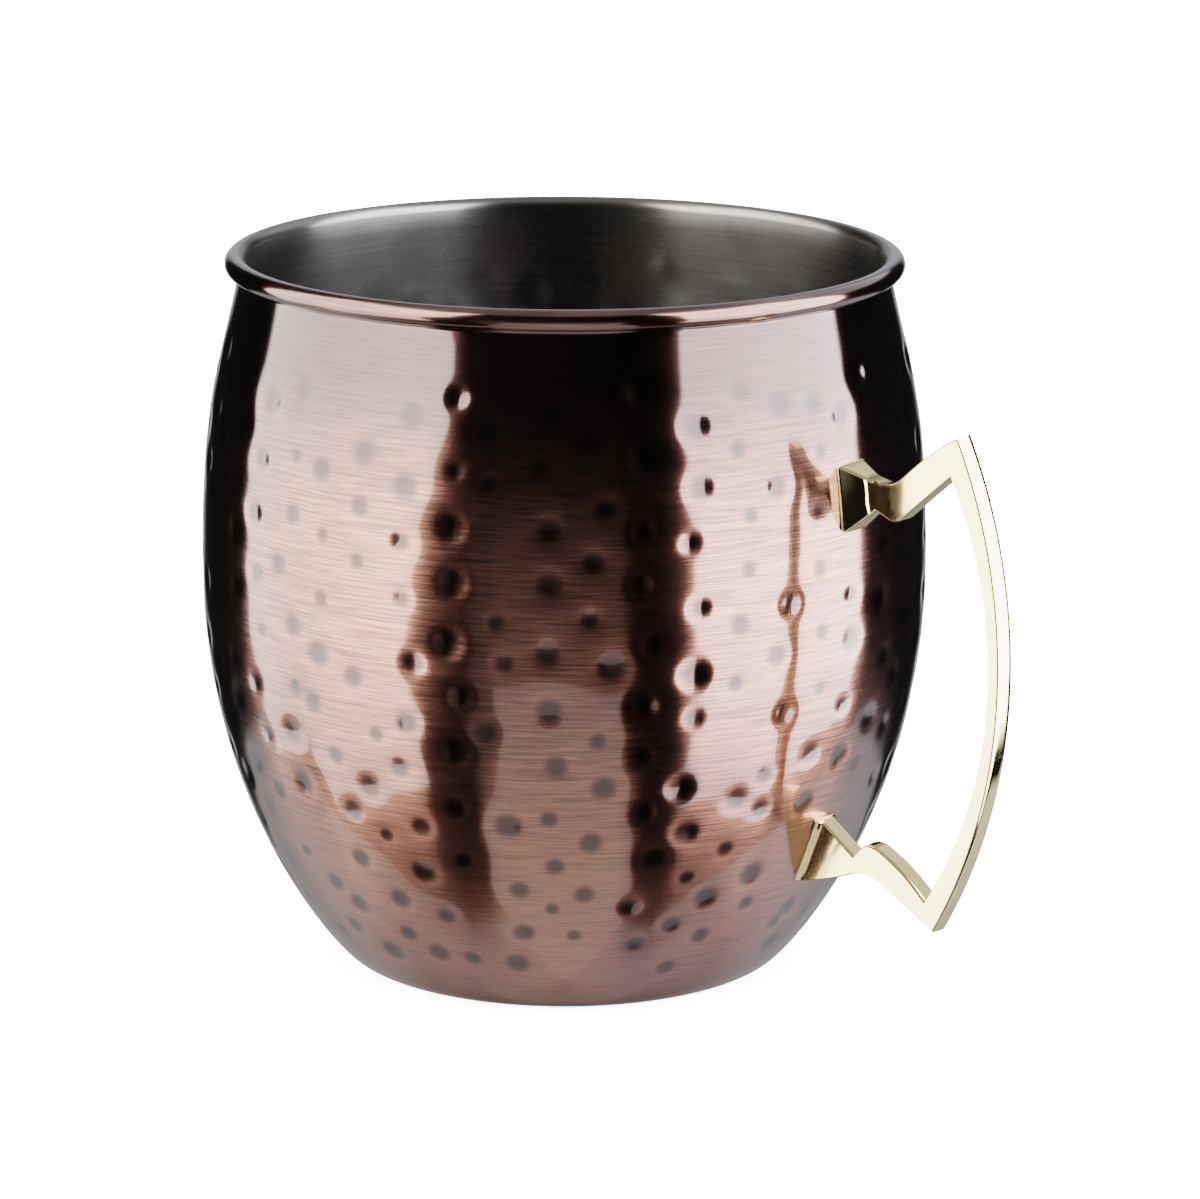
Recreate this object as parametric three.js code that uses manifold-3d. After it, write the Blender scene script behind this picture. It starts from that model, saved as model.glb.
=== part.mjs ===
// A half-litre barrel mug: drawn steel, copper outside, with a cast brass handle brazed to its side.
// Millimetres, +Z up. The origin is the middle of the flat underside and the handle stands out along +X.
import * as THREE from "three";
import { mergeVertices } from "three/addons/utils/BufferGeometryUtils.js";
import Module from "manifold-3d";

const wasm = await Module();
wasm.setup();
const { Manifold, Mesh: SolidMesh } = wasm;

// Driving dimensions of the body
const HEIGHT = 95.5; // underside to the top of the rolled rim
const RIM_RADIUS = 45; // outside of the rolled rim
const ROLL_RADIUS = 1.4; // half the thickness of the rolled rim
const NECK_RADIUS = 43.2; // outside of the wall where it runs into the rim
const BELLY_RADIUS = 48.5; // the widest part of the barrel
const BELLY_HEIGHT = 53;
const BASE_RADIUS = 29.4; // the flat that the mug stands on
const PLATING = 0.2; // the copper layer, thicker than real plating so that it is a solid
const STEEL = 0.8; // the drawn sheet

// Driving dimensions of the handle
const SIDE_HALF = 1.5; // half the distance between its two flat sides
const CROWN = 0.3; // how far its edges stand out past the outline of the flat sides
const STRAIGHT = 2.1; // the flat middle of each edge, between its two rounded corners
const BRAZE = 0.3; // thickness of the brazed joint between a foot and the wall
const BRAZE_MARGIN = 0.4; // how far a brazed joint shows past its foot, all round
const BRAZE_ROUND = 1.2; // corner radius of a brazed joint's outline

// Facets
const TURNS = 64;
const LOWER_STEPS = 9;
const UPPER_STEPS = 7;
const ARC_STEPS = 12; // along each side of the grip
const CURVE_STEPS = 5;

const v2 = (x, y) => new THREE.Vector2(x, y);
const onAxis = (level) => v2(0, level);

// The barrel's outside, from the edge of the base to the neck: two curves that meet at the belly.
const rollCentre = v2(RIM_RADIUS - ROLL_RADIUS, HEIGHT - ROLL_RADIUS);
const neckDrop = Math.sqrt(ROLL_RADIUS ** 2 - (rollCentre.x - NECK_RADIUS) ** 2);
const neck = v2(NECK_RADIUS, rollCentre.y - neckDrop);
const lowerCurve = new THREE.CubicBezierCurve(
  v2(BASE_RADIUS, 0),
  v2(BASE_RADIUS + 1.7, 0.4),
  v2(BELLY_RADIUS, 20),
  v2(BELLY_RADIUS, BELLY_HEIGHT),
);
const upperCurve = new THREE.CubicBezierCurve(
  v2(BELLY_RADIUS, BELLY_HEIGHT),
  v2(BELLY_RADIUS, 77.6),
  v2(NECK_RADIUS + 1.8, 82.7),
  neck,
);

// Points of the barrel moved inwards by depth, square to the wall. The first one keeps the base flat.
function barrel(depth) {
  const lower = Array.from({ length: LOWER_STEPS }, (_, i) => [lowerCurve, i / LOWER_STEPS]);
  const upper = Array.from({ length: UPPER_STEPS + 1 }, (_, i) => [upperCurve, i / UPPER_STEPS]);
  const points = [...lower, ...upper].map(([curve, t]) => {
    const point = curve.getPoint(t);
    const tangent = curve.getTangent(t);
    return v2(point.x - tangent.y * depth, point.y + tangent.x * depth);
  });
  points[0].y = depth;
  return points;
}

// A point on the rolled rim, its angle in degrees from straight out.
function rollPoint(radius, degrees) {
  const angle = THREE.MathUtils.degToRad(degrees);
  return v2(rollCentre.x + radius * Math.cos(angle), rollCentre.y + radius * Math.sin(angle));
}

// A solid of revolution about the mug's own axis, turned from the lathe's Y up to Z up.
const turned = (profile) => new THREE.LatheGeometry(profile, TURNS).rotateX(Math.PI / 2);

const PLATING_END = 108; // the copper stops just inside the top of the roll
const LIP_ANGLES = [PLATING_END, 135, 160, 180];

// The wall at some depth below the outside, and the roll at that depth, from where the two meet.
function wallAndRoll(depth) {
  const radius = ROLL_RADIUS - depth;
  const across = NECK_RADIUS - depth - rollCentre.x;
  const start = -THREE.MathUtils.radToDeg(Math.acos(across / radius));
  const angles = [start, (start * 2) / 3, start / 3, 0, 30, 60, 90, PLATING_END];
  return [...barrel(depth).slice(0, -1), ...angles.map((angle) => rollPoint(radius, angle))];
}

function copperPlating() {
  const inner = wallAndRoll(PLATING).reverse();
  return turned([onAxis(0), ...wallAndRoll(0), ...inner, onAxis(PLATING)]);
}

function steelBody() {
  const lip = LIP_ANGLES.map((angle) => rollPoint(ROLL_RADIUS, angle));
  const inside = barrel(PLATING + STEEL).reverse();
  return turned([onAxis(PLATING), ...wallAndRoll(PLATING), ...lip, ...inside, onAxis(PLATING + STEEL)]);
}

// Solids for cutting and joining
function solid(geometry) {
  const bare = geometry.clone();
  bare.deleteAttribute("normal");
  bare.deleteAttribute("uv");
  const merged = mergeVertices(bare, 1e-4);
  const vertProperties = merged.attributes.position.array;
  const triVerts = new Uint32Array(merged.index.array);
  return new Manifold(new SolidMesh({ numProp: 3, vertProperties, triVerts }));
}

function geometryOf(manifold) {
  const { vertProperties, triVerts } = manifold.getMesh();
  const geometry = new THREE.BufferGeometry();
  geometry.setAttribute("position", new THREE.BufferAttribute(vertProperties, 3));
  geometry.setIndex(new THREE.BufferAttribute(triVerts, 1));
  geometry.computeVertexNormals();
  return geometry;
}

// Everything inside the barrel grown by margin, up to the neck.
const filledBarrel = (margin) => solid(turned([onAxis(-margin), ...barrel(-margin), onAxis(neck.y)]));

// The lowest and highest points where each foot of the handle meets the wall, as distance from the axis
// and height, half the width of the foot there, and the distance from the wall in which it widens.
const upperFoot = { low: v2(48.3, 64.8), high: v2(47.3, 73.2), lowHalf: 2.6, highHalf: 2.9, flare: 3.4 };
const lowerFoot = { low: v2(41, 16.8), high: v2(44.4, 25.5), lowHalf: 2.5, highHalf: 2.5, flare: 0.7 };
const INTO_WALL = 2.5; // a foot runs on past the wall's face before it is cut to fit

const apex = { outer: v2(64.75, 78.9), inner: v2(63.9, 74.25) };
const heel = { outer: v2(62.5, 14.25), inner: v2(61.2, 17.65) };
const gripOutside = v2(71.7, 49);
const gripInside = v2(70.35, 48.5);

// Adds to outline the arc of a circle from its current point through middle to end.
function arcThrough(outline, middle, end) {
  const start = outline.currentPoint.clone();
  const chord = end.clone().sub(start);
  const side = middle.clone().sub(start);
  const twice = 2 * chord.cross(side);
  const x = (side.y * chord.lengthSq() - chord.y * side.lengthSq()) / twice;
  const y = (chord.x * side.lengthSq() - side.x * chord.lengthSq()) / twice;
  const centre = start.clone().add(v2(x, y));
  const spoke = start.clone().sub(centre);
  let sweep = end.clone().sub(centre).angle() - spoke.angle();
  if (Math.abs(sweep) > Math.PI) sweep -= Math.sign(sweep) * 2 * Math.PI;
  for (let i = 1; i < ARC_STEPS; i++) {
    const point = start.clone().rotateAround(centre, (sweep * i) / ARC_STEPS);
    outline.lineTo(point.x, point.y);
  }
  outline.lineTo(end.x, end.y);
}

// The handle's flat side, anticlockwise from the inner end of the upper foot.
function handleOutline() {
  const outline = new THREE.Shape();
  const to = (x, y) => outline.lineTo(x, y);
  outline.moveTo(upperFoot.high.x - INTO_WALL, upperFoot.high.y + 0.8);
  outline.lineTo(upperFoot.low.x - INTO_WALL, upperFoot.low.y - 2);
  // underneath the upper arm: a notch, a rounded cusp, and up to the inner corner
  to(upperFoot.low.x, upperFoot.low.y);
  to(52.4, 68.3);
  to(54.3, 67.4);
  outline.quadraticCurveTo(55.4, 66.8, 56.5, 67.8);
  to(apex.inner.x, apex.inner.y);
  arcThrough(outline, gripInside, heel.inner);
  // on top of the lower arm: from the inner corner over a hump to a notch, and up to the foot
  outline.quadraticCurveTo(58, 21, 54.3, 22.8);
  outline.quadraticCurveTo(52.3, 24, 51.2, 23);
  to(49.8, 21.5);
  to(lowerFoot.high.x, lowerFoot.high.y);
  to(lowerFoot.high.x - INTO_WALL, lowerFoot.high.y + 1.7);
  to(lowerFoot.low.x - INTO_WALL, lowerFoot.low.y - 0.6);
  // underneath the lower arm
  to(lowerFoot.low.x, lowerFoot.low.y);
  outline.quadraticCurveTo(45, 17.6, 49, 19.2);
  outline.quadraticCurveTo(51.8, 20.4, 54.5, 18.8);
  to(heel.outer.x, heel.outer.y);
  arcThrough(outline, gripOutside, apex.outer);
  // on top of the upper arm, down into a valley and up to the foot
  outline.quadraticCurveTo(61.2, 77.2, 56.6, 72.8);
  outline.bezierCurveTo(54.6, 70.9, 52.6, 71.2, 50.4, 72);
  to(upperFoot.high.x, upperFoot.high.y);
  return outline;
}

const wallPoints = barrel(0);
function wallRadius(height) {
  const i = Math.max(1, wallPoints.findIndex((p) => p.y > height));
  const [below, above] = [wallPoints[i - 1], wallPoints[i]];
  return THREE.MathUtils.mapLinear(height, below.y, above.y, below.x, above.x);
}

// How many times its usual thickness the handle has at a place, as it widens towards the wall.
function spread(distance, height) {
  const { low, high, lowHalf, highHalf, flare } = height > BELLY_HEIGHT ? upperFoot : lowerFoot;
  const up = THREE.MathUtils.clamp((height - low.y) / (high.y - low.y), 0, 1);
  const near = 1 - THREE.MathUtils.clamp((distance - wallRadius(height)) / flare, 0, 1);
  return 1 + (THREE.MathUtils.lerp(lowHalf, highHalf, up) / SIDE_HALF - 1) * near;
}

function brassHandle() {
  const geometry = new THREE.ExtrudeGeometry(handleOutline(), {
    depth: STRAIGHT,
    bevelThickness: SIDE_HALF - STRAIGHT / 2,
    bevelSize: CROWN,
    bevelSegments: 3,
    curveSegments: CURVE_STEPS,
  });
  geometry.translate(0, 0, -STRAIGHT / 2).rotateX(Math.PI / 2);
  const place = geometry.attributes.position;
  for (let i = 0; i < place.count; i++) {
    place.setY(i, place.getY(i) * spread(place.getX(i), place.getZ(i)));
  }
  return geometryOf(solid(geometry).subtract(filledBarrel(BRAZE)));
}

// A thin saddle of braze that fills the space between one foot and the wall.
function brazedJoint(foot) {
  const highX = foot.highHalf + BRAZE_MARGIN - BRAZE_ROUND;
  const lowX = foot.lowHalf + BRAZE_MARGIN - BRAZE_ROUND;
  const y = foot.low.distanceTo(foot.high) / 2 + CROWN + BRAZE_MARGIN - BRAZE_ROUND;
  const corners = [v2(highX, y), v2(-highX, y), v2(-lowX, -y), v2(lowX, -y)];
  const quarter = Math.PI / 2;
  const outline = new THREE.Shape();
  corners.forEach((corner, i) => {
    outline.absarc(corner.x, corner.y, BRAZE_ROUND, i * quarter, (i + 1) * quarter, false);
  });
  const reach = 3; // past the wall's face, inwards and outwards, before it is cut to the wall
  const block = new THREE.ExtrudeGeometry(outline, {
    depth: 2 * reach,
    bevelEnabled: false,
    curveSegments: CURVE_STEPS,
  });
  const middle = foot.low.clone().lerp(foot.high, 0.5);
  const lean = Math.atan2(foot.high.x - foot.low.x, foot.high.y - foot.low.y);
  block.translate(0, 0, -reach).rotateX(Math.PI / 2).rotateZ(Math.PI / 2).rotateY(lean);
  block.translate(middle.x, 0, middle.y);
  return geometryOf(solid(block).intersect(filledBarrel(BRAZE)).subtract(filledBarrel(0)));
}

function metal(color, roughness) {
  return new THREE.MeshStandardMaterial({ color, roughness, metalness: 1 });
}

function named(name, geometry, material) {
  const mesh = new THREE.Mesh(geometry, material);
  mesh.name = name;
  return mesh;
}

const mug = new THREE.Group();
mug.add(
  named("steel_body", steelBody(), metal(0x8f8c88, 0.35)),
  named("copper_plating", copperPlating(), metal(0x9a6650, 0.25)),
  named("brass_handle", brassHandle(), metal(0xe3c98a, 0.12)),
  named("upper_braze", brazedJoint(upperFoot), metal(0xb08d57, 0.35)),
  named("lower_braze", brazedJoint(lowerFoot), metal(0xb08d57, 0.35)),
);

export default mug;
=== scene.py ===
"""A hammered copper barrel mug with a brass handle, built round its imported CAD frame. Metres, +Z up."""

import math
import random

import bpy
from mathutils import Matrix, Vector


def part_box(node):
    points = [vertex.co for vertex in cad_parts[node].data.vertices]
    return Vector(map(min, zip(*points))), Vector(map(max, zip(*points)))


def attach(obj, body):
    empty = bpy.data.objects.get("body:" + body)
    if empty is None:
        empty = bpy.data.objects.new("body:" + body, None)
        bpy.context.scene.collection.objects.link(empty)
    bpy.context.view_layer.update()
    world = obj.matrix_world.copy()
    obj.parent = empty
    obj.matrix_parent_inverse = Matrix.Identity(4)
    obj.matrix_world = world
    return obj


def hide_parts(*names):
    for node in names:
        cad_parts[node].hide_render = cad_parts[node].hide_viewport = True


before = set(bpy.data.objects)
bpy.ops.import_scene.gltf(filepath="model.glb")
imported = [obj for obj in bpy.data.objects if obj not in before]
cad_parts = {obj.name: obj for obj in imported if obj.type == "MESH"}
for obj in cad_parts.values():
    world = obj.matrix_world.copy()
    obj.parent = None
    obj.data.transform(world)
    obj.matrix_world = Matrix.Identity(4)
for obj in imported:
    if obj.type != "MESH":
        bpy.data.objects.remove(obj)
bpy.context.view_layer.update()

MM = 0.001

# Sizes of the body, in millimetres. The heights and widths come from the frame.
plating_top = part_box("copper_plating")[1]
HEIGHT = plating_top[2] / MM
BELLY_RADIUS = plating_top[0] / MM
BELLY_HEIGHT = 53
BASE_RADIUS = 29.4
RIM_RADIUS = 45
ROLL_RADIUS = 1.4
NECK_RADIUS = 43.2
WALL = 1.0


# ---------------------------------------------------------------- outlines
# Their points are [distance from the axis, height].


def line(start, end, steps):
    """Points from start to end."""
    start, end = Vector(start), Vector(end)
    return [start.lerp(end, i / steps) for i in range(steps + 1)]


def bezier(a, b, c, d, steps):
    """Points along a cubic curve from a to d."""
    points = []
    for i in range(steps + 1):
        t = i / steps
        u = 1 - t
        weights = (u**3, 3 * u * u * t, 3 * u * t * t, t**3)
        points.append(sum((Vector(p) * w for p, w in zip((a, b, c, d), weights)), Vector((0, 0))))
    return points


def bow(a, b, c, steps):
    """Points along a quadratic curve from a to c, pulled towards b."""
    a, b, c = Vector(a), Vector(b), Vector(c)
    return bezier(a, a.lerp(b, 2 / 3), c.lerp(b, 2 / 3), c, steps)


def arc_through(start, middle, end, steps):
    """Points along the circle through three points."""
    start = Vector(start)
    chord = Vector(end) - start
    side = Vector(middle) - start
    twice = 2 * (chord.x * side.y - chord.y * side.x)
    x = (side.y * chord.length_squared - chord.y * side.length_squared) / twice
    y = (chord.x * side.length_squared - side.x * chord.length_squared) / twice
    centre = start + Vector((x, y))
    spoke = start - centre
    sweep = -spoke.angle_signed(Vector(end) - centre)
    turned = []
    for i in range(steps + 1):
        angle = sweep * i / steps
        cos, sin = math.cos(angle), math.sin(angle)
        turned.append(centre + Vector((spoke.x * cos - spoke.y * sin, spoke.x * sin + spoke.y * cos)))
    return turned


def join(*runs):
    """One run of points from several that meet end to end."""
    points = list(runs[0])
    for run in runs[1:]:
        points += run[1:]
    return points


def evenly(points, pitch):
    """The same outline with its points pitch apart."""
    along = [0.0]
    for a, b in zip(points, points[1:]):
        along.append(along[-1] + (b - a).length)
    count = max(1, round(along[-1] / pitch))
    spaced = []
    k = 0
    for i in range(count + 1):
        target = along[-1] * i / count
        while k < len(points) - 2 and along[k + 1] < target:
            k += 1
        share = (target - along[k]) / (along[k + 1] - along[k])
        spaced.append(points[k].lerp(points[k + 1], min(1.0, share)))
    return spaced


def outward(points):
    """Unit normals of an outline that runs up the outside of the wall."""
    normals = []
    for i in range(len(points)):
        step = points[min(i + 1, len(points) - 1)] - points[max(i - 1, 0)]
        normals.append(Vector((step.y, -step.x)).normalized())
    return normals


ROLL_CENTRE = Vector((RIM_RADIUS - ROLL_RADIUS, HEIGHT - ROLL_RADIUS))
NECK_DROP = math.sqrt(ROLL_RADIUS**2 - (ROLL_CENTRE.x - NECK_RADIUS) ** 2)
NECK = Vector((NECK_RADIUS, ROLL_CENTRE.y - NECK_DROP))


def barrel_outline():
    """The outside of the wall from the edge of the base to the neck."""
    belly = (BELLY_RADIUS, BELLY_HEIGHT)
    lower = bezier((BASE_RADIUS, 0), (BASE_RADIUS + 1.7, 0.4), (BELLY_RADIUS, 20), belly, 400)
    upper = bezier(belly, (BELLY_RADIUS, 77.6), (NECK_RADIUS + 1.8, 82.7), NECK, 300)
    return join(lower, upper)


def rolled(start, end, steps, radius=ROLL_RADIUS):
    """Points round the rolled rim, with angles in degrees from straight out."""
    angles = [math.radians(start + (end - start) * i / steps) for i in range(steps + 1)]
    return [ROLL_CENTRE + radius * Vector((math.cos(a), math.sin(a))) for a in angles]


BARREL = barrel_outline()


def wall_radius(height):
    """Outside radius of the wall at a height."""
    for a, b in zip(BARREL, BARREL[1:]):
        if b.y >= height:
            return a.x + (b.x - a.x) * (height - a.y) / (b.y - a.y)
    return NECK_RADIUS


# ---------------------------------------------------------------- the hammering

COLUMNS_OF_MARKS = 48
MARK_PITCH = 7.6  # up the wall, between two marks of one column
CLEAR_BELOW_RIM = 7.5  # of wall length with no marks
CLEAR_ABOVE_BASE = 9.0
FULL_BLOWS_ABOVE = 62.0  # height from which the marks have their full depth
FOOT_HEIGHTS = (69.0, 21.3)  # of the middles of the handle's feet
FOOT_CLEARANCE = 6.5
UNEVEN_UP = 0.75  # how far a blow lands from its place, up the wall and round it
UNEVEN_AROUND = 0.95
MISSED_BLOWS = 0.06
MISSED_NEAR_BASE = 0.35  # more of them, in the lowest row


def hammer_marks(wall_length, radius_at, height_at):
    """Every mark as [angle, distance up the wall, radius, depth], in uneven staggered columns."""
    chance = random.Random(41)
    marks = []
    for column in range(COLUMNS_OF_MARKS):
        lift = MARK_PITCH * (0.5 * (column % 2) + chance.uniform(-0.16, 0.16))
        up = CLEAR_ABOVE_BASE + lift
        while up < wall_length - CLEAR_BELOW_RIM:
            here = up + chance.gauss(0, UNEVEN_UP)
            around = radius_at(here)
            angle = 2 * math.pi * column / COLUMNS_OF_MARKS + chance.gauss(0, UNEVEN_AROUND) / around
            size = chance.uniform(1.8, 3.4)
            force = 0.5 + 0.5 * min(1.0, height_at(here) / FULL_BLOWS_ABOVE)
            depth = size * force * chance.uniform(0.05, 0.1)
            in_lowest_row = up < CLEAR_ABOVE_BASE + MARK_PITCH
            missed = chance.random() < MISSED_BLOWS + MISSED_NEAR_BASE * in_lowest_row
            from_handle = around * abs(math.remainder(angle, 2 * math.pi))
            to_feet = [math.hypot(from_handle, height_at(here) - foot) for foot in FOOT_HEIGHTS]
            if not missed and min(to_feet) >= FOOT_CLEARANCE:
                marks.append((angle, here, size, depth))
            up += MARK_PITCH
    return marks


SKIRT = 1.75  # how far the metal is drawn down round a mark, as a multiple of the mark's radius
SKIRT_SHARE = 0.28  # of the mark's depth


def hollow(share):
    """A mark's depth at a squared share of its radius: a round hollow in a wide skirt."""
    core = max(0.0, 1 - share) ** 3
    skirt = max(0.0, 1 - share / SKIRT**2) ** 3
    return core * (1 - SKIRT_SHARE) + skirt * SKIRT_SHARE


def struck(rows, columns, row_pitch, radii, marks):
    """For each point of a wall grid, in rows, its depth under its marks and how far inside one it is."""
    depths = [[0.0] * columns for _ in range(rows)]
    insides = [[0.0] * columns for _ in range(rows)]
    turn = 2 * math.pi / columns
    for angle, up, size, depth in marks:
        reach = size * SKIRT
        lowest = max(0, int((up - reach) / row_pitch))
        highest = min(rows, int((up + reach) / row_pitch) + 2)
        for row in range(lowest, highest):
            rise = row * row_pitch - up
            if abs(rise) >= reach:
                continue
            half = math.sqrt(reach * reach - rise * rise) / radii[row]
            first = math.ceil((angle - half) / turn)
            last = math.floor((angle + half) / turn)
            for column in range(first, last + 1):
                aside = (column * turn - angle) * radii[row]
                share = (rise * rise + aside * aside) / (size * size)
                wrapped = column % columns
                depths[row][wrapped] += depth * hollow(share)
                insides[row][wrapped] = max(insides[row][wrapped], max(0.0, 1 - share) ** 2)
    return depths, insides


# ---------------------------------------------------------------- meshes


def new_piece(name, vertices, faces, material):
    """A smooth mesh object in metres from points in millimetres."""
    mesh = bpy.data.meshes.new(name)
    mesh.from_pydata([Vector(v) * MM for v in vertices], [], faces)
    mesh.materials.append(material)
    mesh.shade_smooth()
    mesh.update()
    piece = bpy.data.objects.new(name, mesh)
    bpy.context.scene.collection.objects.link(piece)
    return piece


def turned_grid(outline, columns, depths, inward):
    """Vertices of an outline turned about the axis, each moved by its depth along its row's inward."""
    vertices = []
    for row, point in enumerate(outline):
        for column in range(columns):
            angle = 2 * math.pi * column / columns
            at = point + inward[row] * depths[row][column]
            vertices.append((at.x * math.cos(angle), at.x * math.sin(angle), at.y))
    return vertices


def grid_faces(rows, columns):
    """Quads between neighbouring rows of a grid whose rows are closed loops."""
    faces = []
    for row in range(rows - 1):
        for column in range(columns):
            a = row * columns + column
            b = row * columns + (column + 1) % columns
            faces.append((a, b, b + columns, a + columns))
    return faces


def value_on_points(piece, name, values):
    """Stores one number for each vertex, for the materials to read."""
    layer = piece.data.attributes.new(name, "FLOAT", "POINT")
    layer.data.foreach_set("value", values)


# ---------------------------------------------------------------- material building


def node(tree, kind, inputs=None, **settings):
    """Adds a node. inputs maps a socket's name or number to a value or to another node's socket."""
    made = tree.nodes.new("ShaderNode" + kind)
    for key, value in settings.items():
        setattr(made, key, value)
    for key, value in (inputs or {}).items():
        if isinstance(value, bpy.types.NodeSocket):
            tree.links.new(value, made.inputs[key])
        else:
            made.inputs[key].default_value = value
    return made


def math_node(tree, operation, a, b=0.0, c=0.0, clamp=False):
    """Adds a Math node and gives its result."""
    return node(tree, "Math", {0: a, 1: b, 2: c}, operation=operation, use_clamp=clamp).outputs[0]


def smooth_step(tree, value, low, high, bottom=0.0, top=1.0):
    """Rises smoothly from bottom at low to top at high."""
    inputs = {"Value": value, "From Min": low, "From Max": high, "To Min": bottom, "To Max": top}
    return node(tree, "MapRange", inputs, interpolation_type="SMOOTHSTEP").outputs[0]


def blend_colours(tree, factor, a, b):
    """Colour a where factor is 0 and colour b where it is 1."""
    inputs = {"Factor": factor, 6: a, 7: b}
    return node(tree, "Mix", inputs, data_type="RGBA").outputs[2]


def new_group(name, inputs, outputs):
    """An empty shader group with float inputs {name: default} and outputs {name: socket type}."""
    group = bpy.data.node_groups.new(name, "ShaderNodeTree")
    for label, default in inputs.items():
        socket = group.interface.new_socket(label, in_out="INPUT", socket_type="NodeSocketFloat")
        socket.default_value = default
    for label, kind in outputs.items():
        group.interface.new_socket(label, in_out="OUTPUT", socket_type=kind)
    entry = group.nodes.new("NodeGroupInput")
    leave = group.nodes.new("NodeGroupOutput")
    return group, entry.outputs, leave.inputs


def brush_marks_group():
    """Fine short lines that run round the mug, as left by a brush held against the turning body."""
    group, given, out = new_group(
        "brush_marks",
        {"Lines per Metre": 6000.0, "Length": 40.0},
        {"Height": "NodeSocketFloat", "Streak": "NodeSocketFloat"},
    )
    place = node(group, "TexCoord").outputs["Object"]
    parts = node(group, "SeparateXYZ", {0: place}).outputs
    level = node(group, "CombineXYZ", {0: parts[0], 1: parts[1]}).outputs[0]
    radius = node(group, "VectorMath", {0: level}, operation="LENGTH").outputs["Value"]
    # height and some of the distance from the axis, so that the lines stay fine where the wall turns under
    up_wall = math_node(group, "MULTIPLY_ADD", radius, 0.6, parts[2])
    around = math_node(group, "DIVIDE", given["Lines per Metre"], given["Length"])
    x = math_node(group, "MULTIPLY", parts[0], around)
    y = math_node(group, "MULTIPLY", parts[1], around)
    z = math_node(group, "MULTIPLY", up_wall, given["Lines per Metre"])
    stretched = node(group, "CombineXYZ", {0: x, 1: y, 2: z}).outputs[0]
    fine = node(group, "TexNoise", {"Vector": stretched, "Scale": 1.0, "Detail": 2.0, "Roughness": 0.6})
    group.links.new(fine.outputs[0], out["Height"])
    broad = node(group, "TexNoise", {"Vector": stretched, "Scale": 0.7, "Detail": 3.0, "Roughness": 0.7})
    group.links.new(broad.outputs[0], out["Streak"])
    return group


def mottle_group():
    """Slow uneven patches, as handling and tarnish leave on any old metal."""
    group, given, out = new_group(
        "mottle",
        {"Patches per Metre": 60.0, "Contrast": 1.0},
        {"Patch": "NodeSocketFloat"},
    )
    place = node(group, "TexCoord").outputs["Object"]
    inputs = {"Vector": place, "Scale": given["Patches per Metre"], "Detail": 4.0, "Roughness": 0.55}
    cloud = node(group, "TexNoise", inputs).outputs[0]
    centred = math_node(group, "SUBTRACT", cloud, 0.5)
    patch = math_node(group, "MULTIPLY_ADD", centred, given["Contrast"], 0.5, clamp=True)
    group.links.new(patch, out["Patch"])
    return group


def grouped(tree, group, **values):
    """Places a group in a material with its own values, named with underscores for spaces."""
    made = tree.nodes.new("ShaderNodeGroup")
    made.node_tree = group
    for key, value in values.items():
        made.inputs[key.replace("_", " ")].default_value = value
    return made.outputs


BRUSH_MARKS = brush_marks_group()
MOTTLE = mottle_group()


def metal(name, **fixed):
    """A material with a metallic Principled shader, whose fixed values are set on its own sockets."""
    material = bpy.data.materials.new(name)
    material.use_nodes = True
    tree = material.node_tree
    shader = tree.nodes["Principled BSDF"]
    shader.inputs["Metallic"].default_value = 1.0
    for key, value in fixed.items():
        shader.inputs[key.replace("_", " ")].default_value = value
    return material, tree, shader


def antique_copper():
    """Copper darkened all over, then brushed bright on its high parts and lacquered."""
    material, tree, shader = metal(
        "antique_copper",
        Anisotropic=0.97,
        Anisotropic_Rotation=0.25,
        Coat_Weight=1.0,
        Coat_Roughness=0.02,
        Coat_IOR=1.5,
    )
    brush = grouped(tree, BRUSH_MARKS, Lines_per_Metre=6500.0, Length=38.0)
    patch = grouped(tree, MOTTLE, Patches_per_Metre=55.0, Contrast=1.3)["Patch"]
    inside_mark = node(tree, "Attribute", attribute_name="inside_mark").outputs["Fac"]
    place = node(tree, "TexCoord").outputs["Object"]
    height = node(tree, "SeparateXYZ", {0: place}).outputs[2]
    light_line = (0.33, 0.137, 0.094, 1)
    dark_line = (0.110, 0.045, 0.031, 1)
    oxide = (0.030, 0.015, 0.012, 1)
    # the stroke was longer and harder round the base
    harder = smooth_step(tree, height, 0.010, 0.045, 0.5, 0.0)
    stroke = math_node(tree, "ADD", smooth_step(tree, brush["Streak"], 0.32, 0.68), harder, clamp=True)
    brushed = blend_colours(tree, stroke, dark_line, light_line)
    # the brush reaches neither the bottom of a mark nor the band under the rim
    outside_mark = smooth_step(tree, inside_mark, 0.2, 0.9, 1.0, 0.12)
    below_rim = smooth_step(tree, height, 0.062, 0.088, 1.0, 0.15)
    on_rim = smooth_step(tree, height, 0.0915, 0.093, 0.0, 0.5)
    clear = math_node(tree, "MAXIMUM", below_rim, on_rim)
    uneven = math_node(tree, "MULTIPLY_ADD", patch, 0.3, 0.85)
    reached = math_node(tree, "MULTIPLY", math_node(tree, "MULTIPLY", outside_mark, clear), uneven)
    tree.links.new(blend_colours(tree, reached, oxide, brushed), shader.inputs["Base Color"])
    roughness = smooth_step(tree, reached, 0.0, 1.0, 0.15, 0.19)
    tree.links.new(roughness, shader.inputs["Roughness"])
    bump = node(tree, "Bump", {"Strength": 0.3, "Distance": 0.00002, "Height": brush["Height"]})
    tree.links.new(bump.outputs[0], shader.inputs["Normal"])
    tangent = node(tree, "Tangent", direction_type="RADIAL", axis="Z")
    tree.links.new(tangent.outputs[0], shader.inputs["Tangent"])
    return material


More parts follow.
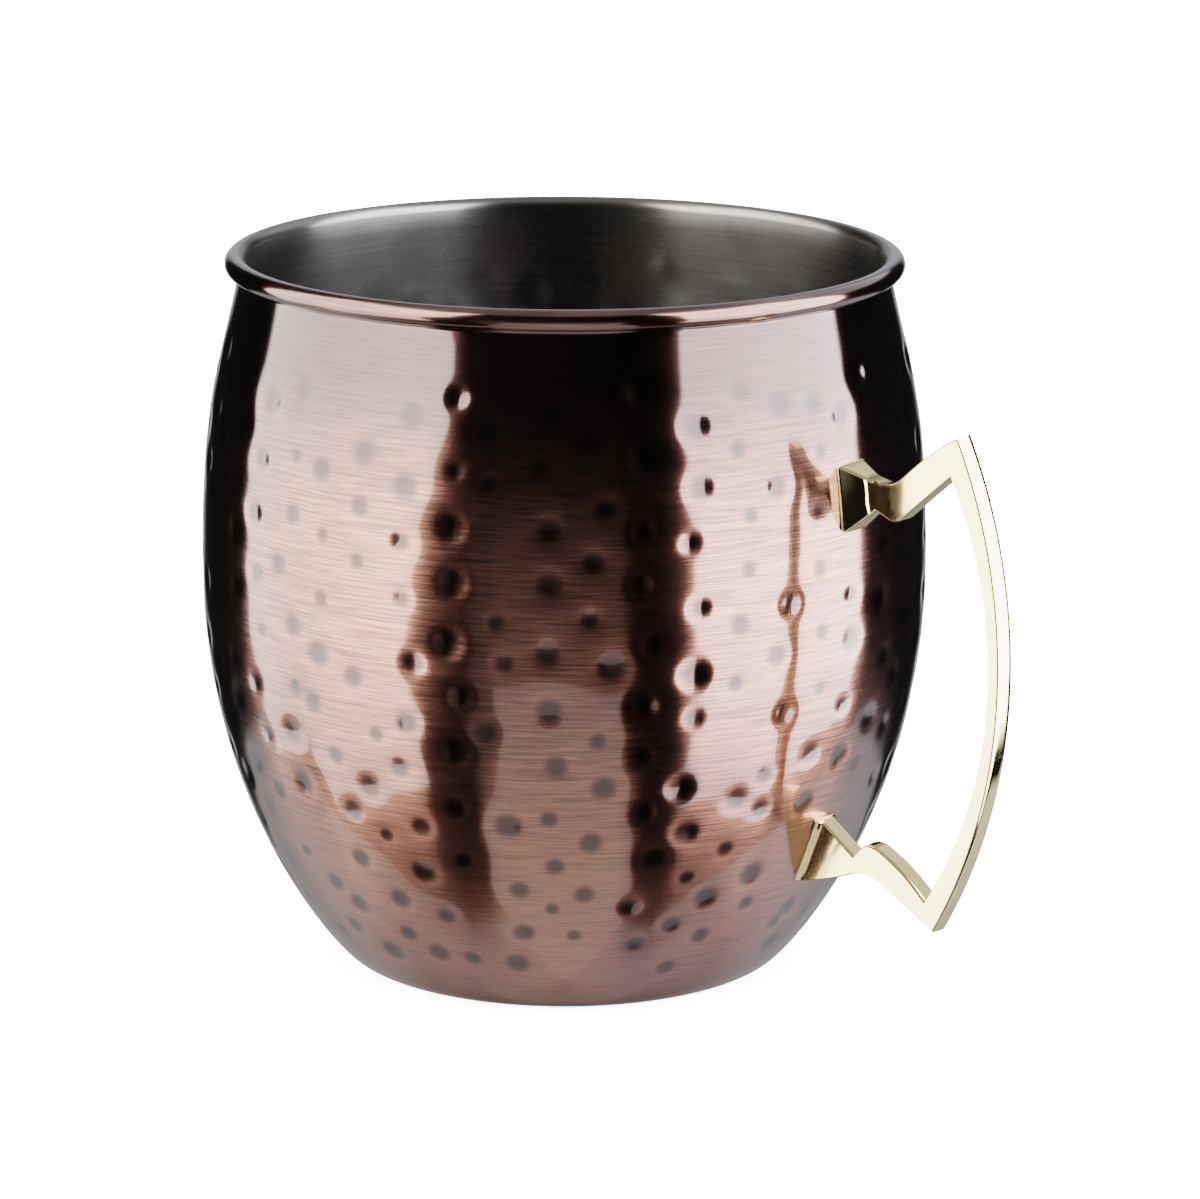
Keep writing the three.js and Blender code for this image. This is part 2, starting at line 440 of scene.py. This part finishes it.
def brushed_steel():
    """Bare steel inside the mug, brushed round and softly dented from outside."""
    material, tree, shader = metal("brushed_steel", Anisotropic=0.9, Anisotropic_Rotation=0.25)
    brush = grouped(tree, BRUSH_MARKS, Lines_per_Metre=3000.0, Length=45.0)
    patch = grouped(tree, MOTTLE, Patches_per_Metre=40.0, Contrast=1.0)["Patch"]
    colour = blend_colours(tree, brush["Streak"], (0.125, 0.115, 0.107, 1), (0.25, 0.233, 0.218, 1))
    tree.links.new(colour, shader.inputs["Base Color"])
    roughness = smooth_step(tree, patch, 0.3, 0.7, 0.25, 0.31)
    tree.links.new(roughness, shader.inputs["Roughness"])
    bump = node(tree, "Bump", {"Strength": 0.4, "Distance": 0.00003, "Height": brush["Height"]})
    tree.links.new(bump.outputs[0], shader.inputs["Normal"])
    tangent = node(tree, "Tangent", direction_type="RADIAL", axis="Z")
    tree.links.new(tangent.outputs[0], shader.inputs["Tangent"])
    return material


def polished_brass():
    """Pale gold brass, polished by hand, with slight waves and faint handling marks."""
    material, tree, shader = metal("polished_brass", Coat_Weight=0.1, Coat_Roughness=0.02)
    patch = grouped(tree, MOTTLE, Patches_per_Metre=180.0, Contrast=1.2)["Patch"]
    colour = blend_colours(tree, patch, (0.72, 0.55, 0.26, 1), (0.80, 0.63, 0.33, 1))
    tree.links.new(colour, shader.inputs["Base Color"])
    roughness = smooth_step(tree, patch, 0.25, 0.75, 0.05, 0.10)
    tree.links.new(roughness, shader.inputs["Roughness"])
    place = node(tree, "TexCoord").outputs["Object"]
    waves = node(tree, "TexNoise", {"Vector": place, "Scale": 260.0, "Detail": 1.0}).outputs[0]
    bump = node(tree, "Bump", {"Strength": 0.25, "Distance": 0.0001, "Height": waves})
    tree.links.new(bump.outputs[0], shader.inputs["Normal"])
    return material


def braze_metal():
    """The brazing metal in the corner between a foot and the wall: duller and redder than the brass."""
    material, tree, shader = metal("braze_metal", Coat_Weight=0.3, Coat_Roughness=0.05)
    patch = grouped(tree, MOTTLE, Patches_per_Metre=900.0, Contrast=1.6)["Patch"]
    colour = blend_colours(tree, patch, (0.20, 0.115, 0.06, 1), (0.42, 0.27, 0.14, 1))
    tree.links.new(colour, shader.inputs["Base Color"])
    roughness = smooth_step(tree, patch, 0.2, 0.8, 0.22, 0.38)
    tree.links.new(roughness, shader.inputs["Roughness"])
    bump = node(tree, "Bump", {"Strength": 0.5, "Distance": 0.0001, "Height": patch})
    tree.links.new(bump.outputs[0], shader.inputs["Normal"])
    return material


# ---------------------------------------------------------------- the body

ROW_PITCH = 0.52  # between two rows of the outside's grid
COLUMNS = 432
INSIDE_PITCH = 0.8
INSIDE_COLUMNS = 300
FINE_PITCH = 0.2  # for looking up where a mark lies
PLATING_END = 108  # on the rolled rim, in degrees from straight out
LIP_OVERLAP = 8  # how many degrees the steel runs on under the plating's end
LIP_TUCK = 0.05  # and how deep under it
INSIDE_SPREAD = 1.2  # a mark's radius inside, as a multiple of its radius outside
INSIDE_BULGE = 1.3  # and its height inside, as a multiple of its depth outside
UNDERSIDE_RINGS = (2, 12, 22, 27, 28.6)  # radii
FLOOR_RINGS = (27.5, 24, 16, 8, 2)


def wall_rows(pitch):
    """The wall's outline at that pitch, and lookups of radius and height by distance up the wall."""
    wall = evenly(BARREL, pitch)
    step = sum((b - a).length for a, b in zip(wall, wall[1:])) / (len(wall) - 1)

    def at(up):
        return wall[min(len(wall) - 1, max(0, round(up / step)))]

    return wall, step, at


def copper_outside(marks):
    """The hammered copper: underside, wall and most of the rolled rim."""
    wall, step, _ = wall_rows(ROW_PITCH)
    radii = [p.x for p in wall]
    depths, insides = struck(len(wall), COLUMNS, step, radii, marks)
    inward = [-n for n in outward(wall)]
    underside = [Vector((radius, 0)) for radius in UNDERSIDE_RINGS]
    neck_angle = -math.degrees(math.acos((NECK_RADIUS - ROLL_CENTRE.x) / ROLL_RADIUS))
    roll = rolled(neck_angle, PLATING_END, 18)[1:]
    outline = underside + wall + roll
    flat = [0.0] * COLUMNS
    all_depths = [flat] * len(underside) + depths + [flat] * len(roll)
    all_insides = [flat] * len(underside) + insides + [flat] * len(roll)
    none = Vector((0, 0))
    all_inward = [none] * len(underside) + inward + [none] * len(roll)
    vertices = turned_grid(outline, COLUMNS, all_depths, all_inward)
    faces = grid_faces(len(outline), COLUMNS)
    faces.append(tuple(range(COLUMNS))[::-1])
    piece = new_piece("copper_outside", vertices, faces, antique_copper())
    value_on_points(piece, "inside_mark", [inside for row in all_insides for inside in row])
    return piece


def steel_inside(marks):
    """The steel face: inner lip of the rim, wall and floor, with the marks showing as soft bumps."""
    wall, step, _ = wall_rows(INSIDE_PITCH)
    radii = [p.x for p in wall]
    softened = [
        (angle, up, INSIDE_SPREAD * size, INSIDE_BULGE * depth) for angle, up, size, depth in marks
    ]
    depths, _ = struck(len(wall), INSIDE_COLUMNS, step, radii, softened)
    normals = outward(wall)
    inner = [p - n * WALL for p, n in zip(wall, normals)]
    inner[0] = Vector((inner[0].x, WALL))
    inward = [-n for n in normals]
    tucked = PLATING_END - LIP_OVERLAP
    lip_start = rolled(tucked, tucked, 1, ROLL_RADIUS - LIP_TUCK)[:1]
    lip = lip_start + rolled(PLATING_END, 180, 10)
    floor = [Vector((radius, WALL)) for radius in FLOOR_RINGS]
    outline = lip + inner[::-1] + floor
    flat = [0.0] * INSIDE_COLUMNS
    none = Vector((0, 0))
    all_depths = [flat] * len(lip) + depths[::-1] + [flat] * len(floor)
    all_inward = [none] * len(lip) + inward[::-1] + [none] * len(floor)
    vertices = turned_grid(outline, INSIDE_COLUMNS, all_depths, all_inward)
    faces = grid_faces(len(outline), INSIDE_COLUMNS)
    last = (len(outline) - 1) * INSIDE_COLUMNS
    faces.append(tuple(last + i for i in range(INSIDE_COLUMNS)))
    return new_piece("steel_inside", vertices, faces, brushed_steel())


# ---------------------------------------------------------------- the handle

SIDE_HALF = 1.5  # half the distance between the two flat sides
EDGE_STEPS = 14
SIDE_STEPS = 4
CROWN = 0.235  # how far the edges stand out past the outline of the flat sides
LEAN = 0.04  # how much farther out an edge is on the far side than in its middle
CREASE = math.radians(24)  # bends sharper than this stay crisp
SUNK = 0.2  # how deep the handle's ends lie under the wall's face
FILLET_WIDTH = 0.2
FILLET_SUNK = 0.03
# the heights of each foot's ends, half its width there, and the distance from the wall in which it widens
UPPER_FOOT = {"low": 64.8, "high": 73.2, "low half": 2.6, "high half": 2.9, "flare": 3.4}
LOWER_FOOT = {"low": 16.8, "high": 25.5, "low half": 2.5, "high half": 2.5, "flare": 0.7}


def handle_edges():
    """The outer and inner edges of the flat side, station by station, from the upper foot to the lower."""
    apex, heel = (64.75, 78.9), (62.5, 14.25)
    inner_apex, inner_heel = (63.9, 74.25), (61.2, 17.65)
    outer = join(
        line((47.3, 73.2), (50.4, 72), 16),
        bezier((50.4, 72), (52.6, 71.2), (54.6, 70.9), (56.6, 72.8), 14),
        bow((56.6, 72.8), (61.2, 77.2), apex, 14),
        arc_through(apex, (71.7, 49), heel, 60),
        line(heel, (54.5, 18.8), 14),
        bow((54.5, 18.8), (51.8, 20.4), (49, 19.2), 14),
        bow((49, 19.2), (45, 17.6), (41, 16.8), 30),
    )
    inner = join(
        line((48.3, 64.8), (52.4, 68.3), 16),
        line((52.4, 68.3), (54.3, 67.4), 5),
        bow((54.3, 67.4), (55.4, 66.8), (56.5, 67.8), 9),
        line((56.5, 67.8), inner_apex, 14),
        arc_through(inner_apex, (70.35, 48.5), inner_heel, 60),
        bow(inner_heel, (58, 21), (54.3, 22.8), 14),
        bow((54.3, 22.8), (52.3, 24), (51.2, 23), 10),
        line((51.2, 23), (49.8, 21.5), 4),
        line((49.8, 21.5), (44.4, 25.5), 30),
    )
    return outer, inner


def mitres(points, side):
    """At each point of an edge, the way out of the metal, longer at corners to keep the crown's height."""
    ways = []
    for i, point in enumerate(points):
        before = (point - points[i - 1]).normalized() if i else None
        after = (points[i + 1] - point).normalized() if i + 1 < len(points) else None
        pair = [Vector((-d.y, d.x)) * side for d in (before, after) if d is not None]
        total = pair[0] + pair[-1]
        ways.append(total / (1 + pair[0].dot(pair[-1])))
    return ways


def handle_section(outer, inner, out_way, in_way):
    """One closed section across the handle as [distance from the axis, sideways, height]."""
    loop = []
    # from one flat side to the other: nearly flat, with tight corners
    across = [math.sin(math.pi * (k / EDGE_STEPS - 0.5)) for k in range(EDGE_STEPS + 1)]
    for t in across:
        at = outer + out_way * (CROWN * (1 - t**8) + LEAN * t)
        loop.append((at.x, t * SIDE_HALF, at.y))
    for k in range(1, SIDE_STEPS):
        at = outer.lerp(inner, k / SIDE_STEPS)
        loop.append((at.x, SIDE_HALF, at.y))
    for t in across:
        at = inner + in_way * CROWN * (1 - t**8)
        loop.append((at.x, -t * SIDE_HALF, at.y))
    for k in range(1, SIDE_STEPS):
        at = inner.lerp(outer, k / SIDE_STEPS)
        loop.append((at.x, -SIDE_HALF, at.y))
    return loop


def flared(point):
    """Widens a point of the handle close to the wall, as its feet do."""
    x, y, z = point
    foot = UPPER_FOOT if z > BELLY_HEIGHT else LOWER_FOOT
    up = min(1.0, max(0.0, (z - foot["low"]) / (foot["high"] - foot["low"])))
    half = foot["low half"] + (foot["high half"] - foot["low half"]) * up
    near = 1 - min(1.0, max(0.0, (x - wall_radius(z)) / foot["flare"]))
    return x, y * (1 + (half / SIDE_HALF - 1) * near**1.1), z


def onto_wall(point, sunk):
    """Moves a point along X to that depth under the wall's face."""
    _, y, z = point
    return math.sqrt(wall_radius(z) ** 2 - y * y) - sunk, y, z


def brass_handle():
    """The cast handle with its flat sides, crowned edges and spreading feet, and its cross sections."""
    outer, inner = handle_edges()
    out_ways, in_ways = mitres(outer, 1), mitres(inner, -1)
    sections = [
        [flared(p) for p in handle_section(*station)] for station in zip(outer, inner, out_ways, in_ways)
    ]
    for end in (0, -1):
        sections[end] = [onto_wall(p, SUNK) for p in sections[end]]
    around = len(sections[0])
    vertices = [p for section in sections for p in section]
    faces = grid_faces(len(sections), around)
    faces.append(tuple(range(around))[::-1])
    last = (len(sections) - 1) * around
    faces.append(tuple(last + i for i in range(around)))
    piece = new_piece("cast_handle", vertices, faces, polished_brass())
    piece.data.set_sharp_from_angle(angle=CREASE)
    return piece, sections


def braze_fillet(name, section, beyond):
    """A hollow fillet of braze round one foot, from the wall beside it up onto the foot's own face."""
    centre = sum((Vector(p) for p in section), Vector()) / len(section)
    on_wall, on_foot = [], []
    for p, q in zip(section, beyond):
        p, q = Vector(p), Vector(q)
        away = p - centre
        away.x = 0
        beside_foot = p + away.normalized() * FILLET_WIDTH
        on_wall.append(onto_wall(beside_foot, FILLET_SUNK))
        on_foot.append(tuple(p + (q - p).normalized() * (FILLET_WIDTH + SUNK)))
    hidden = [tuple(Vector(p).lerp(centre, 0.12)) for p in section]
    middle = []
    for w, f, p in zip(on_wall, on_foot, section):
        middle.append(tuple((Vector(w) + Vector(f)) * 0.36 + Vector(p) * 0.28))
    rings = [hidden, on_wall, middle, on_foot, hidden]
    around = len(section)
    # the last ring is the first one again
    vertices = [v for ring in rings[:-1] for v in ring]
    faces = []
    bands = len(rings) - 1
    for k in range(bands):
        for i in range(around):
            j = (i + 1) % around
            a = k * around
            b = ((k + 1) % bands) * around
            faces.append((a + i, a + j, b + j, b + i))
    return new_piece(name, vertices, faces, braze_metal())


# ---------------------------------------------------------------- camera and studio

CAMERA_DISTANCE = 0.648
CAMERA_ELEVATION = math.radians(14.0)
CAMERA_AZIMUTH = math.radians(39.7)
CAMERA_ROLL = math.radians(0.22)
ASIDE = 0.0048  # the mug stands this far left of the middle of the view
WHITE = 16.0  # brightness that the view shows as plain white


def add_camera():
    """Looks at the middle of the mug's height from a little above, on the handle's side."""
    towards = Vector(
        (
            math.sin(CAMERA_AZIMUTH) * math.cos(CAMERA_ELEVATION),
            -math.cos(CAMERA_AZIMUTH) * math.cos(CAMERA_ELEVATION),
            math.sin(CAMERA_ELEVATION),
        )
    )
    middle = Vector((0, 0, HEIGHT * MM / 2))
    right = Vector((math.cos(CAMERA_AZIMUTH), math.sin(CAMERA_AZIMUTH), 0))
    data = bpy.data.cameras.new("camera")
    data.lens = 144.3
    data.sensor_width = 36
    camera = bpy.data.objects.new("camera", data)
    camera.location = middle + towards * CAMERA_DISTANCE
    look = middle + right * ASIDE - camera.location
    turn = look.to_track_quat("-Z", "Y").to_matrix().to_4x4()
    turn.translation = camera.location
    camera.matrix_world = turn
    camera.rotation_euler.rotate_axis("Z", CAMERA_ROLL)
    bpy.context.scene.collection.objects.link(camera)
    bpy.context.scene.camera = camera


class Studio:
    """The lights that the mug stands among, as a pattern of brightness over every direction in degrees."""

    def __init__(self):
        world = bpy.data.worlds.new("studio")
        bpy.context.scene.world = world
        world.use_nodes = True
        self.tree = world.node_tree
        self.tree.nodes.clear()
        towards = node(self.tree, "TexCoord").outputs["Generated"]
        inputs = {"Vector": towards, "Angle": -CAMERA_AZIMUTH}
        turned = node(self.tree, "VectorRotate", inputs, rotation_type="Z_AXIS")
        parts = node(self.tree, "SeparateXYZ", {0: turned.outputs[0]}).outputs
        forward = math_node(self.tree, "MULTIPLY", parts[1], -1.0)
        round_angle = math_node(self.tree, "ARCTAN2", parts[0], forward)
        # around is 0 at the front of the set and grows to its right
        self.around = math_node(self.tree, "MULTIPLY", round_angle, 180 / math.pi)
        self.aside = math_node(self.tree, "ABSOLUTE", self.around)
        rise = math_node(self.tree, "ARCSINE", parts[2])
        self.up = math_node(self.tree, "MULTIPLY", rise, 180 / math.pi)
        self.light = None

    def past(self, value, edge, soft):
        """1 where value is more than edge, which may itself vary, falling to 0 over soft degrees."""
        return smooth_step(self.tree, math_node(self.tree, "SUBTRACT", value, edge), -soft / 2, soft / 2)

    def short_of(self, value, edge, soft):
        """1 where value is less than edge."""
        return self.past(self.minus(value), self.minus(edge), soft)

    def minus(self, value):
        """The value with its sign changed, for a number or a socket."""
        if isinstance(value, (int, float)):
            return -value
        return math_node(self.tree, "MULTIPLY", value, -1.0)

    def ramp(self, value, low, high, bottom, top):
        """A straight change from bottom at low to top at high."""
        inputs = {"Value": value, "From Min": low, "From Max": high, "To Min": bottom, "To Max": top}
        return node(self.tree, "MapRange", inputs).outputs[0]

    def between(self, value, start, start_soft, end, end_soft):
        """1 from start to end."""
        both = self.past(value, start, start_soft), self.short_of(value, end, end_soft)
        return math_node(self.tree, "MULTIPLY", *both)

    def shine(self, *factors):
        """Lights the set with the product of these factors, wherever it isn't brighter already."""
        light = factors[0]
        for factor in factors[1:]:
            light = math_node(self.tree, "MULTIPLY", light, factor)
        self.light = light if self.light is None else math_node(self.tree, "MAXIMUM", self.light, light)

    def finish(self):
        """The pattern lights the mug, and the view itself sees plain white."""
        # the right-hand light is a little colder
        cold = smooth_step(self.tree, self.around, 25, 40)
        tint = blend_colours(self.tree, cold, (1.0, 1.0, 1.0, 1), (0.97, 1.0, 1.1, 1))
        lit = node(self.tree, "Background", {"Color": tint, "Strength": self.light})
        plain = node(self.tree, "Background", {"Color": (1, 1, 1, 1), "Strength": WHITE})
        ray = node(self.tree, "LightPath").outputs["Is Camera Ray"]
        either = node(self.tree, "MixShader", {0: ray, 1: lit.outputs[0], 2: plain.outputs[0]})
        out = node(self.tree, "OutputWorld")
        self.tree.links.new(either.outputs[0], out.inputs[0])


def light_studio():
    """Two tall softboxes beside a dark set, over a white table with a dark card standing on each side."""
    studio = Studio()
    around, aside, up = studio.around, studio.aside, studio.up
    past, short_of, between = studio.past, studio.short_of, studio.between
    ramp, shine = studio.ramp, studio.shine
    box_top = short_of(up, 55, 12)
    # left softbox, whose foot has a step and whose inner edge leans
    foot = ramp(around, -99, -94, -28, -38)
    inner_edge = ramp(up, -14, 12, -50, -38)
    strength = ramp(around, -118, -56, 6.2, 9.8)
    dimmer_low = ramp(up, -38, 4, 0.5, 1.0)
    sides = between(around, -118, 3, inner_edge, 2)
    shine(strength, dimmer_low, sides, past(up, foot, 2), box_top)
    # right softbox
    foot = ramp(around, 78, 104, -40, -24)
    inner_edge = ramp(up, -30, 0, 43.5, 39.5)
    strength = ramp(around, 44, 72, 11, 12.6)
    dimmer_low = ramp(up, -40, -14, 0.4, 0.93)
    sides = between(around, inner_edge, 2, 106, 3)
    shine(strength, dimmer_low, sides, past(up, foot, 2), box_top)
    # a pale wall far behind on the right, above the table
    shine(1.1, between(around, 110, 4, 162, 8), past(up, 18, 6), box_top)
    # the table in front, between the feet of two dark cards, and the dim set over its far edge
    left_end = ramp(up, -58, -35, -37, -23)
    right_end = ramp(up, -66, -36, 41, 20)
    shine(0.98, between(around, left_end, 2, right_end, 2), short_of(up, -20.5, 2))
    front = between(around, -31, 6, 20, 6)
    shine(ramp(up, -21, 2, 0.24, 0.02), ramp(around, -10, 20, 1.0, 0.5), front)
    # the table under the softboxes and beside the mug
    lit_side = ramp(up, -56, -42, 0.72, 1.35)
    farther = ramp(aside, 98, 150, 1.0, 0.28)
    shine(lit_side, farther, past(aside, 66, 10), short_of(up, ramp(aside, 60, 116, -66, -24), 3))
    shine(0.75, between(around, -72, 8, -30, 4), short_of(up, -66, 8))
    shine(ramp(aside, 90, 170, 0.72, 0.36), short_of(up, -68, 8))
    # the pale backdrop behind
    shine(0.5, past(aside, 164, 12), past(up, -24, 4))
    # a dim ceiling
    shine(0.5, past(up, 55, 20))
    shine(0.008)
    studio.finish()


FLOOR_HALF = 3.0
FLOOR_BELOW = 0.0002  # the mug's underside doesn't share the floor's plane
# how far out from the base the floor's painted contact shadow reaches
CONTACT_REACH = 0.006


def add_floor():
    """A plain white floor with a painted contact shadow: its glow for the view darkens a little where the
    mug meets it.
    """
    material = bpy.data.materials.new("white_floor")
    material.use_nodes = True
    tree = material.node_tree
    tree.nodes.clear()
    # painted contact shadow: the floor's glow is dimmed by occlusion next to the mug
    open_sky = node(tree, "AmbientOcclusion", {"Distance": CONTACT_REACH}, samples=8).outputs["AO"]
    shade = smooth_step(tree, open_sky, 0.0, 0.5, 4.0, WHITE)
    seen = node(tree, "Emission", {"Color": (1, 1, 1, 1), "Strength": shade})
    lit = node(tree, "BsdfDiffuse", {"Color": (0.8, 0.8, 0.8, 1)})
    ray = node(tree, "LightPath").outputs["Is Camera Ray"]
    either = node(tree, "MixShader", {0: ray, 1: lit.outputs[0], 2: seen.outputs[0]})
    out = node(tree, "OutputMaterial")
    tree.links.new(either.outputs[0], out.inputs[0])
    signs = ((-1, -1), (1, -1), (1, 1), (-1, 1))
    corners = [(x * FLOOR_HALF, y * FLOOR_HALF, 0) for x, y in signs]
    mesh = bpy.data.meshes.new("floor")
    mesh.from_pydata(corners, [], [(0, 1, 2, 3)])
    mesh.materials.append(material)
    floor = bpy.data.objects.new("floor", mesh)
    floor.location.z = -FLOOR_BELOW
    floor.visible_glossy = False
    bpy.context.scene.collection.objects.link(floor)


# ---------------------------------------------------------------- assembly


def place(piece, slot, *nodes):
    """The piece rides on the mug and stands for these CAD nodes. Its slot is not used."""
    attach(piece, "root")
    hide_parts(*nodes)


add_camera()
bpy.context.scene.view_settings.view_transform = "Filmic"
light_studio()
add_floor()

_, _, on_wall_at = wall_rows(FINE_PITCH)
wall_length = sum((b - a).length for a, b in zip(BARREL, BARREL[1:]))
marks = hammer_marks(wall_length, lambda up: on_wall_at(up).x, lambda up: on_wall_at(up).y)

place(copper_outside(marks), "antique_copper", "copper_plating")
place(steel_inside(marks), "steel", "steel_body")
handle, sections = brass_handle()
place(handle, "polished_brass", "brass_handle")
place(braze_fillet("upper_fillet", sections[0], sections[1]), "braze", "upper_braze")
place(braze_fillet("lower_fillet", sections[-1], sections[-2]), "braze", "lower_braze")
